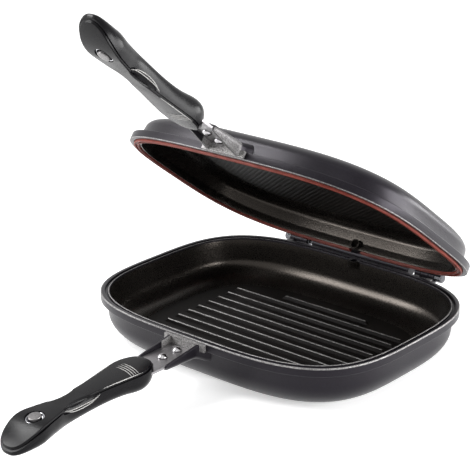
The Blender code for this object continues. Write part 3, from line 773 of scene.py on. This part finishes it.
def add_seal(material):
    """The two-ridged seal, along the rim from one side of the vent hood to the other."""
    outer = land_width + rim_slope + gap
    inner = outer + seal_width
    back = closing_gap + lid_groove_depth - gap
    ridge = outer + seal_ridge_width
    second = inner - seal_inner_ridge_width
    section = [
        (outer, back, 0),
        (outer, -seal_ridge_reach, seal_ridge_width / 2),
        (ridge, -seal_ridge_reach, seal_ridge_width / 2),
        (ridge, 0, rim_slope),
        (second, 0, rim_slope),
        (second, -seal_inner_ridge_reach, seal_inner_ridge_width / 2),
        (inner, -seal_inner_ridge_reach, seal_inner_ridge_width / 2),
        (inner, back, 0),
    ]
    opening = max(hood_radius, vent_boss_radius) + 2 * gap
    near = math.acos((opening / (half_width - inner)) ** (width_power / 2))
    start, end = math.pi - near, 2 * math.pi + near
    turned = sorted(t if t > start else t + 2 * math.pi for t in ring_angles)
    angles = [start] + [t for t in turned if t < end] + [end]
    line = rounded(section)
    solid = loft([[pan_point(angle, inset, height) for inset, height in line] for angle in angles])
    finish_mesh("seal", solid, upper_half, ["silicone_gasket"], material)


def curve_share(share, column):
    """Reads the grip's outline smoothly between its shares (a Catmull-Rom curve)."""
    last = len(grip_shares) - 1
    spot = next((i for i in range(last) if share <= grip_shares[i + 1][0]), last - 1)
    near, far = grip_shares[spot], grip_shares[spot + 1]
    before = grip_shares[max(spot - 1, 0)]
    after = grip_shares[min(spot + 2, last)]
    span = far[0] - near[0]
    t = (share - near[0]) / span
    slope_in = (far[column] - before[column]) / (far[0] - before[0]) * span
    slope_out = (after[column] - near[column]) / (after[0] - near[0]) * span
    rise = far[column] - near[column]
    bend = slope_in + slope_out - 2 * rise
    return near[column] + t * (slope_in + t * (3 * rise - 2 * slope_in - slope_out + t * bend))


def rounded_end(distance, radius, power):
    u = max(0, 1 - distance / radius)
    return (1 - u**power) ** (1 / power)


def grip_size(share):
    """Half width and thickness of the grip at a share of its length."""
    root_end = rounded_end(share * grip_length, grip_root_round, root_power_share)
    from_tip = (1 - share) * grip_length
    width = grip_half_width * curve_share(share, 1)
    width *= root_end**root_width_share * rounded_end(from_tip, grip_tip_round, tip_power_share)
    thick = (grip_thickness - grip_shoulder_drop) * curve_share(share, 2)
    thick *= root_end**root_thickness_share
    thick *= rounded_end(from_tip, grip_back_round, back_power_share) ** tip_thickness_share
    into_nose = max(0, 1 - from_tip / back_nose_length)
    back_nose = back_nose_drop * (1 - math.sqrt(1 - into_nose**2))
    return width, max(nose_least_thickness, thick + back_nose - nose_rise(from_tip))


def nose_rise(from_tip):
    """How far the nose bends the inner face outward, at a distance from the tip."""
    return nose_drop * min(1, max(0, 1 - from_tip / nose_length)) ** nose_power_share


def face_rise(reach):
    """How much further out the inner face lies than at the root, by its lean and its nose."""
    return nose_rise(grip_start + grip_length - reach) + (reach - grip_start) * math.tan(face_lean)


def station_shares():
    """Stations along the grip, closer together at its ends, which they stay just short of."""
    last = grip_stations + 2 * station_end_share
    turns = [math.pi * (i + station_end_share) / last for i in range(grip_stations + 1)]
    return [(1 - math.cos(turn)) / 2 for turn in turns]


def grip_section(share, side):
    width, thick = grip_size(share)
    reach = grip_start + share * grip_length
    shoulder = grip_shoulder_drop + face_rise(reach)
    power = 2 / grip_section_power
    ring = []
    for angle in steps_between(0, math.pi, grip_section_points):
        x = width * math.copysign(abs(math.cos(angle)) ** power, math.cos(angle))
        drop = shoulder + thick * max(0, math.sin(angle)) ** power
        ring.append((x, -reach, side * drop))
    return ring


def magnet_place(half):
    """The magnet's middle on the face, with Z out of the grip's back."""
    side = half["side"]
    near = face_rise(magnet_reach - cup_radius)
    far = face_rise(magnet_reach + cup_radius)
    spot = Matrix.Translation((0, -magnet_reach, side * (near + far) / 2))
    turn = Matrix.Rotation(-side * math.atan2(far - near, 2 * cup_radius), 4, "X")
    return spot @ turn @ Matrix.Diagonal((1, 1, side, 1))


def cup_tool(half, bottom):
    radius = cup_radius + gap
    return lathe([(radius, face_drop - 2 * overrun), (radius, bottom)], magnet_place(half))


def scoop_middle():
    """The half width, the reach and the drop of the grip's side where its scoops lie."""
    reach = grip_start + grip_length * scoop_place_share
    return grip_size(scoop_place_share)[0], reach, face_drop + face_rise(reach) + scoop_drop


def scoop_tool(half, sign, length_share, half_height, bite):
    """An eye-shaped cutter: a squashed sphere that bites into the grip's side."""
    bm = bmesh.new()
    bmesh.ops.create_uvsphere(bm, u_segments=64, v_segments=32, radius=1)
    width, reach, drop = scoop_middle()
    spot = Matrix.Translation((sign * (width + bite), -reach, half["side"] * drop))
    size = Matrix.Diagonal((2 * bite, grip_length * length_share, half_height, 1))
    bmesh.ops.transform(bm, matrix=spot @ size, verts=bm.verts)
    return bm


def scoop_tools(half, *scoops):
    return [scoop_tool(half, sign, *scoop) for sign in (-1, 1) for scoop in scoops]


def add_grip_shell(half, material):
    side = half["side"]
    low, high = span_on(side, tang_drop - gap, channel_drop)
    near = (-channel_half_width, -grip_start - tang_grip_depth, low)
    slot = box(near, (channel_half_width, -grip_start + overrun, high))
    _, thick = grip_size(screw_from_root / grip_length)
    back = grip_shoulder_drop + face_rise(grip_start + screw_from_root) + thick
    seat = back - screw_sink - screw_head_height
    spot = (0, -grip_start - screw_from_root)
    sink = cylinder(spot, screw_head_radius + gap, *span_on(side, seat, seat + grip_thickness))
    cuts = [slot, sink, cup_tool(half, cup_bottom + gap)] + scoop_tools(half, outer_scoop, inner_scoop)
    solid = carve(loft([grip_section(share, side) for share in station_shares()]), [], cuts)
    finish_part(half, "grip", solid, "grip_shell", material)


def raised_line(side, line, radius):
    """A thin round bar along a line of (x, reach, drop) points, with tapered ends."""
    points = [Vector((x, -reach, side * drop)) for x, reach, drop in line]
    rings = []
    last = len(points) - 1
    turns = steps_between(0, 2 * math.pi, line_sides)[:-1]
    for i, point in enumerate(points):
        ahead = (points[min(i + 1, last)] - points[max(i - 1, 0)]).normalized()
        out = ahead.cross(Vector((0, 0, 1))).normalized()
        up = out.cross(ahead)
        along = (i + line_end_share) / (last + 2 * line_end_share)
        size = radius * math.sqrt(math.sin(math.pi * along))
        rings.append([point + size * (math.cos(t) * out + math.sin(t) * up) for t in turns])
    return loft(rings)


def merge(parts):
    """One bmesh of several."""
    whole = bmesh.new()
    for part in parts:
        mesh = mesh_from("part", part)
        whole.from_mesh(mesh)
        bpy.data.meshes.remove(mesh)
    return whole


def face_size(share):
    """Half width and reach of the face plate at a share of its length."""
    width = grip_size(share)[0] * (1 - face_inset / grip_half_width)
    return width, grip_start + face_inset + share * (grip_length - 2 * face_inset)


def side_width(reach, drop):
    """How far out the grip's side lies at a reach and a height, with its scoops."""
    width, thick = grip_size((reach - grip_start) / grip_length)
    into = max(0, drop - grip_shoulder_drop - face_rise(reach)) / thick
    x = width * (1 - min(1, into) ** grip_section_power) ** (1 / grip_section_power)
    middle_width, middle_reach, middle_drop = scoop_middle()
    for length_share, half_height, bite in (outer_scoop, inner_scoop):
        along = (reach - middle_reach) / (grip_length * length_share)
        across = (drop - middle_drop) / half_height
        inside = 1 - along**2 - across**2
        if inside > 0:
            x = min(x, middle_width + bite - 2 * bite * math.sqrt(inside))
    return x


def face_arc(number):
    """The (x, reach, drop) points of one arc across the face plate near its root."""
    for x in steps_between(*arc_ends, line_steps):
        reach = grip_start + arc_from_root + number * arc_pitch + arc_bow * (x - arc_middle) ** 2
        yield x, reach, face_drop + face_rise(reach)


def edge_line(hand):
    """The points of the pale line along an edge of the face plate, halfway round it, whose paleness is a
    painted highlight.
    """
    halfway = face_round * (1 - math.sqrt(0.5))
    for share in steps_between(*edge_line_shares, line_steps):
        width, reach = face_size(share)
        yield hand * (width - halfway), reach, face_drop + face_rise(reach) + halfway


def scoop_ridge(hand, length, depth):
    """The points of a ridge that bows round the far side of a scoop."""
    _, middle, _ = scoop_middle()
    for turn in steps_between(ridge_start, math.pi - ridge_start, 2 * line_steps):
        reach = middle - ridge_shift - length * math.cos(turn)
        drop = grip_shoulder_drop + face_rise(reach) + depth * math.sin(turn)
        yield hand * side_width(reach, drop), reach, drop


def add_grip_lines(half, material):
    """The arcs across the face plate, the pale lines along its edges, and the scoops' ridges, all in pale
    paint as painted highlights.
    """
    lines = [(face_arc(number), arc_radius) for number in range(arc_count)]
    for hand in (-1, 1):
        lines.append((edge_line(hand), edge_line_radius))
        lines += [(scoop_ridge(hand, *ridge), ridge_radius) for ridge in scoop_ridges]
    solid = merge([raised_line(half["side"], *line) for line in lines])
    finish_part(half, "grip_lines", solid, "grip_face", material)


def add_grip_face(half, material):
    """The inner face plate, with its edge rounded over."""
    low = grip_shoulder_drop - gap
    rings = []
    for share in station_shares():
        width, reach = face_size(share)
        if width < 2 * face_round:
            continue
        right = [(width, face_drop, face_round), (width, low, 0)]
        corners = [(-x, drop, radius) for x, drop, radius in right[::-1]] + right
        rise = face_rise(reach)
        points = rounded(corners, face_steps)
        rings.append([(x, -reach, half["side"] * (drop + rise)) for x, drop in points])
    cuts = [cup_tool(half, grip_shoulder_drop + overrun)] + scoop_tools(half, inner_scoop)
    solid = carve(loft(rings), [], cuts)
    finish_part(half, "face_plate", solid, "grip_face", material)


def add_magnet(half, cup_material, disc_material):
    place = magnet_place(half)
    top = face_drop - magnet_proud
    rim = face_drop + cup_sink
    bore = cup_radius - cup_wall
    cup = [
        (0, cup_bottom - cup_floor, 0),
        (bore, cup_bottom - cup_floor, 0),
        (bore, rim, lip_round),
        (cup_radius, rim, lip_round),
        (cup_radius, cup_bottom, 0),
        (0, cup_bottom, 0),
    ]
    finish_part(half, "cup", lathe(rounded(cup), place), "magnet_cup", cup_material)
    seat = cup_bottom - cup_floor - gap
    disc = [(0, top, 0), (magnet_radius, top, magnet_edge), (magnet_radius, seat, 0), (0, seat, 0)]
    finish_part(half, "magnet_disc", lathe(rounded(disc), place), "magnet", disc_material)


def add_rivets(half, material):
    top = tang_drop - gap
    under = channel_drop + bracket_floor + gap
    tail = under + rivet_tail_height
    dome = steps_between(0, math.pi / 2, dome_steps)
    profile = [(rivet_head_radius * math.sin(t), top - rivet_head_height * math.cos(t)) for t in dome]
    profile += [(rivet_radius, top), (rivet_radius, under), (rivet_tail_radius, under)]
    profile += [(rivet_tail_end_radius, tail), (0, tail)]
    for label, reach in (("rear_rivet", rear_rivet_reach), ("front_rivet", front_rivet_reach)):
        place = Matrix.Translation((0, -half_depth - reach, 0)) @ Matrix.Diagonal((1, 1, half["side"], 1))
        finish_part(half, label + "_head", lathe(profile, place), label, material)


def is_output(value):
    return isinstance(value, bpy.types.NodeSocket)


def fill(sockets, values):
    """Links each value that is a node's output to its socket, and sets the sockets of the others."""
    for name, value in values.items():
        if is_output(value):
            value.id_data.links.new(value, sockets[name])
        else:
            sockets[name].default_value = value


def add_node(kind, inputs, **settings):
    """A shader node, in the node tree that its linked inputs come from."""
    tree = next(value for value in inputs.values() if is_output(value)).id_data
    node = tree.nodes.new("ShaderNode" + kind)
    for name, value in settings.items():
        setattr(node, name, value)
    fill(node.inputs, inputs)
    return node


def math_node(operation, *values):
    return add_node("Math", dict(enumerate(values)), operation=operation).outputs[0]


def above(value, level):
    return math_node("GREATER_THAN", value, level)


def below(value, level):
    return math_node("LESS_THAN", value, level)


def either(first, second):
    return math_node("MAXIMUM", first, second)


def product(first, *others):
    """The product of values, which for masks is 1 where all of them are."""
    for other in others:
        first = math_node("MULTIPLY", first, other)
    return first


def vector_node(operation, *values):
    node = add_node("VectorMath", dict(enumerate(values)), operation=operation)
    return node.outputs["Value" if operation in ("DOT_PRODUCT", "LENGTH") else "Vector"]


def noise(place, scale, detail):
    return add_node("TexNoise", {"Vector": place, "Scale": scale, "Detail": detail}).outputs["Fac"]


def spread(value, low, high, to_low=0, to_high=1):
    """Maps a value from one range to another and keeps it there."""
    inputs = {"Value": value, "From Min": low, "From Max": high, "To Min": to_low, "To Max": to_high}
    return add_node("MapRange", inputs).outputs["Result"]


def wander(value, low=0, high=1):
    """Spreads the middle of a noise between two values."""
    return spread(value, *noise_middle, low, high)


def mix_colors(share, *colors):
    """Mixes two colours, each a node's output or its red, green and blue."""
    first, second = [color if is_output(color) else (*color, 1) for color in colors]
    return add_node("Mix", {0: share, 6: first, 7: second}, data_type="RGBA").outputs[2]


def mix_values(share, first, second):
    return add_node("Mix", {0: share, 2: first, 3: second}, data_type="FLOAT").outputs[0]


def bump(height, distance, strength=1, normal=None):
    inputs = {"Height": height, "Distance": distance, "Strength": strength}
    if normal:
        inputs["Normal"] = normal
    return add_node("Bump", inputs).outputs["Normal"]


def new_material(name):
    """A material and its object coordinates."""
    material = bpy.data.materials.new(name)
    material.use_nodes = True
    return material, material.node_tree.nodes.new("ShaderNodeTexCoord").outputs["Object"]


def dress(material, **values):
    """Fills the material's Principled shader, whose inputs are named with _ for a space."""
    shader = material.node_tree.nodes["Principled BSDF"]
    fill(shader.inputs, {name.replace("_", " "): value for name, value in values.items()})
    return material


def quilt(place):
    """A diamond pattern of low cushions, as a height."""
    x, y, _ = add_node("SeparateXYZ", {0: place}).outputs
    waves = []
    for operation in ("ADD", "SUBTRACT"):
        across = math_node(operation, x, y)
        waves.append(math_node("SINE", product(across, math.pi / quilt_pitch)))
    return math_node("ABSOLUTE", product(*waves))


def shut_lid(vector, middle=(0, 0, 0)):
    """Turns a place or a direction of the lid back to where it is when the pan is shut."""
    inputs = {"Vector": vector, "Center": middle, "Angle": open_angle, "Axis": (1, 0, 0)}
    return add_node("VectorRotate", inputs, rotation_type="AXIS_ANGLE").outputs[0]


def pan_masks(place, normal, side):
    """Masks of a pan: its inside, floor, rim edges and rib crests, and its uncoated pad and channel, which on
    the lid also takes in the right cheek as a painted highlight.
    """
    across, along, up = add_node("SeparateXYZ", {0: place}).outputs
    x = math_node("ABSOLUTE", across)
    y = math_node("ABSOLUTE", along)
    front = product(along, -1)
    height = math_node("SUBTRACT", up, hinge_axis.z)
    drop = product(height, side)

    def within(inset):
        across_power = math_node("POWER", math_node("DIVIDE", x, half_width - inset), width_power)
        along_power = math_node("POWER", math_node("DIVIDE", y, half_depth - inset), depth_power)
        return below(math_node("ADD", across_power, along_power), 1)

    def in_front(start, end, reach, low):
        """1 from start to end in front of the pan, up to reach on both sides, and down to a drop."""
        ends = product(above(front, half_depth + start), below(front, half_depth + end))
        return product(ends, below(x, reach), below(drop, low))

    lip = land_width + (base_groove_width if side < 0 else seal_width + 2 * gap)
    rim_edge = math_node("SUBTRACT", 1, within(edge_band))
    lip_edge = math_node("SUBTRACT", within(lip), within(lip + edge_band))
    edges = math_node("ADD", rim_edge, lip_edge)
    edges = product(edges, below(drop, closing_gap + edge_band), below(y, half_depth))

    mouth = (0, 0, hinge_axis.z - side * mouth_depth)
    towards = vector_node("SUBTRACT", mouth, place)
    facing = above(vector_node("DOT_PRODUCT", normal, towards), 0)
    middle = within(floor_inset)
    pad = either(
        in_front(edge_round / 2, pad_reach + gap, pad_half_width + gap, pad_top_drop + pad_height + gap),
        in_front(edge_round / 2, bare_channel_reach, channel_half_width + gap, channel_drop + 2 * gap),
    )
    if side < 0:
        floor_level = lower_half["floor"] - lower_half["height"]
        floor = product(middle, above(height, floor_level - rib_root))
        facing = either(facing, floor)
        # The rib crests take pale casting colour: partly wear, partly a painted highlight of their crest
        # lines.
        low = above(height, floor_level + rib_height * crest_share)
        crest = product(middle, low, below(height, floor_level + 2 * rib_height))
    else:
        floor_level = upper_half["height"] - upper_half["corner_height"]
        floor = product(middle, above(height, floor_level))
        crest = 0
        # The lid's right cheek alone is painted as uncoated casting: partly a painted highlight of the light
        # from the right.
        cheek = in_front(pad_reach, bracket_reach + gap, pad_half_width + gap, pad_top_drop + 2 * pad_height)
        right = above(across, channel_half_width + gap)
        pad = either(pad, product(cheek, right, cheek_bare_and_highlight_share))
    inside = product(within(inside_inset), facing)
    return inside, product(floor, inside), edges, crest, pad


def pan_material(name, side):
    """Grey enamel outside, a black coating inside, uncoated casting on the rim edges, pad and channel, and
    painted highlights on the rib crests and the lid's right cheek.
    """
    material, place = new_material(name)
    normal = place.node.outputs["Normal"]
    shut_place = shut_lid(place, hinge_axis) if side > 0 else place
    shut_normal = shut_lid(normal) if side > 0 else normal
    inside, floor, edges, crest, pad = pan_masks(shut_place, shut_normal, side)
    grain = noise(place, scale=1300, detail=3)
    cloud = noise(place, scale=14, detail=3)
    flecks = spread(noise(place, scale=2600, detail=1), low=0.56, high=0.70)

    enamel = mix_colors(wander(cloud), *enamel_colors)
    enamel = mix_colors(product(flecks, fleck_share), enamel, fleck_color)
    coating = mix_colors(flecks, *coating_colors)
    casting = mix_colors(spread(grain, low=0.38, high=0.62), *casting_colors)
    # paler casting colour along the rim edges, in patches
    patchy = product(edges, spread(cloud, 0.3, 0.6, *rim_edge_pale_shares))
    # uncoated casting colour, with painted highlights on the rib crests and the lid's right cheek
    bare_and_highlight = either(either(crest, patchy), product(pad, pad_wear_and_cheek_highlight_share))

    rough = mix_values(inside, wander(grain, *enamel_roughness), wander(grain, *coating_roughness))
    rough = mix_values(floor, rough, pan_floor_roughness)
    tint = mix_colors(floor, mix_colors(inside, enamel_tint, coating_tint), pan_floor_tint)
    cushions = None
    if side > 0:
        cushions = bump(product(quilt(shut_place), floor), distance=0.0007, strength=0.9)
    relief = mix_values(inside, *relief_strengths)
    return dress(
        material,
        Base_Color=mix_colors(bare_and_highlight, mix_colors(inside, enamel, coating), casting),
        Roughness=mix_values(bare_and_highlight, rough, casting_roughness),
        Metallic=product(bare_and_highlight, casting_metallic),
        Specular_Tint=tint,
        Specular_IOR_Level=pan_gloss,
        Normal=bump(grain, distance=0.00005, strength=relief, normal=cushions),
    )


def silicone_material():
    material, place = new_material("silicone_rubber")
    dust = noise(place, scale=90, detail=4)
    grain = noise(place, scale=2200, detail=2)
    return dress(
        material,
        Base_Color=mix_colors(spread(dust, low=0.35, high=0.7), *silicone_colors),
        Roughness=wander(grain, *silicone_roughness),
        Specular_IOR_Level=silicone_gloss,
        Normal=bump(grain, distance=0.00004, strength=0.4),
    )


def phenolic_material():
    """Glossy black moulding, with the faint ripple of its mould."""
    material, place = new_material("phenolic_black")
    smear = noise(place, scale=60, detail=4)
    ripple = noise(place, scale=240, detail=1)
    return dress(
        material,
        Base_Color=mix_colors(smear, *phenolic_colors),
        Roughness=wander(smear, *phenolic_roughness),
        Specular_IOR_Level=grip_gloss,
        Normal=bump(ripple, distance=0.00003, strength=0.25),
    )


def highlight_line_material():
    """Pale paint on the moulding's thin raised lines: a painted highlight along each."""
    material, place = new_material("phenolic_painted_highlight")
    highlight_grain = noise(place, scale=700, detail=3)
    return dress(
        material,
        Base_Color=mix_colors(wander(highlight_grain), *highlight_line_colors),
        Roughness=wander(highlight_grain, *highlight_line_roughness),
        Normal=bump(highlight_grain, distance=0.00002, strength=0.4),
    )


def brushed_material(name):
    """A metal with fine brush marks and a faint stain."""
    color, dark, roughness, squeeze = metals[name]
    material, place = new_material(name)
    marks = noise(vector_node("MULTIPLY", place, squeeze), scale=900, detail=4)
    stain = spread(noise(place, scale=70, detail=3), 0.45, 0.75, 0, stain_share)
    base = mix_colors(wander(marks), color, dark)
    return dress(
        material,
        Base_Color=mix_colors(stain, base, dark),
        Metallic=1.0,
        Roughness=wander(marks, roughness, roughness + metal_roughness_range),
        Normal=bump(marks, distance=0.00002, strength=0.3),
    )


def give(names, material):
    for name in names:
        for spot in frame["nodes"][name].material_slots:
            spot.material = material


def seen_directly(tree):
    """1 for rays that show the background: from the camera, off gloss, or through glass."""
    path = tree.nodes.new("ShaderNodeLightPath").outputs
    return either(path["Is Camera Ray"], either(path["Is Glossy Ray"], path["Is Transmission Ray"]))


def add_floor():
    """A pale floor that reaches past every view, and keeps the object's shadow."""
    bm = bmesh.new()
    bmesh.ops.create_circle(bm, cap_ends=True, segments=96, radius=floor_radius)
    mesh = mesh_from("floor", bm)
    floor = add_object("floor", mesh)
    floor.location.z = cad_box[0][2] - floor_gap
    material, place = new_material("floor_white")
    grain = noise(place, scale=40, detail=3)
    glow = spread(vector_node("LENGTH", place), *glow_reaches, *glow_strengths)
    dress(
        material,
        Base_Color=mix_colors(grain, *floor_colors),
        Roughness=floor_roughness,
        Specular_IOR_Level=0.0,
        Emission_Color=(1, 1, 1, 1),
        Emission_Strength=product(seen_directly(material.node_tree), glow),
    )
    mesh.materials.append(material)
    floor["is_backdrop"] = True


def add_world():
    """A white background, which lights the object more dimly than it shows."""
    world = bpy.data.worlds.new("studio")
    bpy.context.scene.world = world
    world.use_nodes = True
    strength = mix_values(seen_directly(world.node_tree), *world_strengths)
    fill(world.node_tree.nodes["Background"].inputs, {"Color": (1, 1, 1, 1), "Strength": strength})


def add_lights():
    for name, (place, size, watts) in softboxes.items():
        lamp = bpy.data.lights.new(name, "AREA")
        lamp.shape = "RECTANGLE"
        lamp.size, lamp.size_y = size
        lamp.energy = watts
        obj = add_object(name, lamp)
        obj.location = place
        obj.rotation_euler = (Vector(light_aim) - Vector(place)).to_track_quat("-Z", "Y").to_euler()


def add_camera():
    data = bpy.data.cameras.new("photo_camera")
    data.lens = camera_lens
    data.sensor_width = camera_sensor
    data.clip_start = 0.01
    camera = add_object("photo_camera", data)
    camera.location = camera_place
    camera.rotation_euler = camera_turn
    bpy.context.scene.camera = camera


steel, bright, chrome, nickel, dark_steel = [brushed_material(name) for name in metals]
black = phenolic_material()
# pale paint for the grips' raised lines, a painted highlight
highlight_paint = highlight_line_material()
rubber = silicone_material()

add_lower_pan(pan_material("lower_pan_finish", -1))
add_upper_pan(pan_material("upper_pan_finish", 1))
add_seal(rubber)
for half in (lower_half, upper_half):
    add_grip_shell(half, black)
    add_grip_face(half, black)
    add_grip_lines(half, highlight_paint)
    add_magnet(half, chrome, nickel)
    add_rivets(half, bright)
    give([half["name"] + piece for piece in ("_tang", "_grip_screw", "_grip_nut")], steel)
for side in ("left", "right"):
    give([side + "_hinge_pin", side + "_hinge_clip"], dark_steel)

add_floor()
add_world()
add_lights()
add_camera()
bpy.context.scene.view_settings.view_transform = "Standard"

visual_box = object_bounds()
sizes = {"cad": cad_box, "visual": visual_box}
{name: [list(corner) for corner in box] for name, box in sizes.items()}
